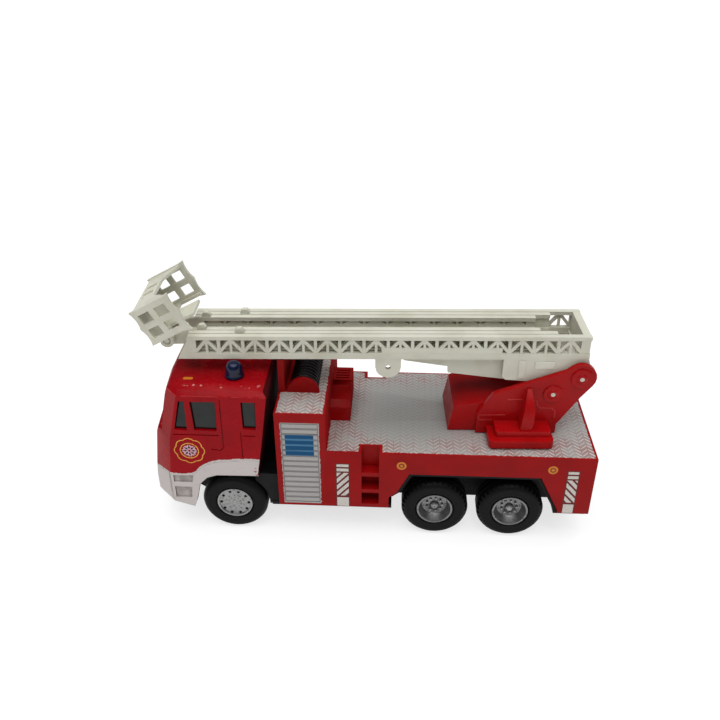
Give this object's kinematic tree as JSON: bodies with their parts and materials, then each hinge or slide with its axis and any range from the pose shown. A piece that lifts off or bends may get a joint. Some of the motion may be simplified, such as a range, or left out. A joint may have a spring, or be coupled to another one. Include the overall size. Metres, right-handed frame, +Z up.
{
  "type": "toy ladder fire engine",
  "caption": "Toy ladder fire engine with free wheels, a turning turntable, a lifting and telescoping ladder and a tilting basket.",
  "frame": {"origin": "on the floor under the middle of the object's box at rest", "axes": "+X towards the cab, +Y to the vehicle's left, +Z up"},
  "size_m": [0.1436, 0.048, 0.0843],
  "materials": {
    "cab_paint": "gloss",
    "smoked_glazing": "gloss",
    "beacon_blue": "gloss",
    "body_plastic": "satin",
    "turntable_plastic": "satin",
    "chassis_plastic": "satin",
    "steel": "satin",
    "hub_chrome": "gloss",
    "tyre_rubber": "matte",
    "ladder_plastic": "satin"
  },
  "bodies": {
    "vehicle": {"cab": "cab_paint", "cab_glazing": "smoked_glazing", "beacon_left": "beacon_blue", "beacon_right": "beacon_blue", "body": "body_plastic", "hose_reel": "chassis_plastic", "chassis": "chassis_plastic"},
    "front_wheels": {"front_axle": "steel", "front_hub_left": "hub_chrome", "front_hub_right": "hub_chrome", "front_tyre_left": "tyre_rubber", "front_tyre_right": "tyre_rubber"},
    "middle_wheels": {"middle_axle": "steel", "middle_hub_left": "hub_chrome", "middle_hub_right": "hub_chrome", "middle_tyre_left": "tyre_rubber", "middle_tyre_right": "tyre_rubber"},
    "rear_wheels": {"rear_axle": "steel", "rear_hub_left": "hub_chrome", "rear_hub_right": "hub_chrome", "rear_tyre_left": "tyre_rubber", "rear_tyre_right": "tyre_rubber"},
    "turntable": {"turntable": "turntable_plastic", "tie_pin": "ladder_plastic", "lift_pin": "ladder_plastic"},
    "ladder_base": {"ladder_base": "ladder_plastic"},
    "ladder_mid": {"ladder_mid": "ladder_plastic"},
    "ladder_fly": {"ladder_fly": "ladder_plastic", "basket_pin": "ladder_plastic"},
    "basket": {"basket": "ladder_plastic"}
  },
  "joints": [
    {"name": "front_axle_spin", "type": "hinge", "parent": "vehicle", "child": "front_wheels", "pos_m": [0.0436, 0, 0.01083], "axis": [0, 1, 0], "continuous": true},
    {"name": "middle_axle_spin", "type": "hinge", "parent": "vehicle", "child": "middle_wheels", "pos_m": [-0.0223, 0, 0.01083], "axis": [0, 1, 0], "continuous": true},
    {"name": "rear_axle_spin", "type": "hinge", "parent": "vehicle", "child": "rear_wheels", "pos_m": [-0.0468, 0, 0.01083], "axis": [0, 1, 0], "continuous": true},
    {"name": "turntable_slew", "type": "hinge", "parent": "vehicle", "child": "turntable", "pos_m": [-0.0482, 0, 0.0339], "axis": [0, 0, 1], "continuous": true},
    {"name": "ladder_lift", "type": "hinge", "parent": "turntable", "child": "ladder_base", "pos_m": [-0.06559, -0.00072, 0.0551], "axis": [0.0412, -0.9992, 0], "range_deg": [0, 60]},
    {"name": "ladder_mid_slide", "type": "slide", "parent": "ladder_base", "child": "ladder_mid", "axis": [0.9992, 0.0412, 0], "range_m": [0, 0.072]},
    {"name": "ladder_fly_slide", "type": "slide", "parent": "ladder_mid", "child": "ladder_fly", "axis": [0.9992, 0.0412, 0], "range_m": [0, 0.072]},
    {"name": "basket_tilt", "type": "hinge", "parent": "ladder_fly", "child": "basket", "pos_m": [0.0626, 0.00457, 0.0654], "axis": [-0.0412, 0.9992, 0], "range_deg": [0, 120]}
  ]
}
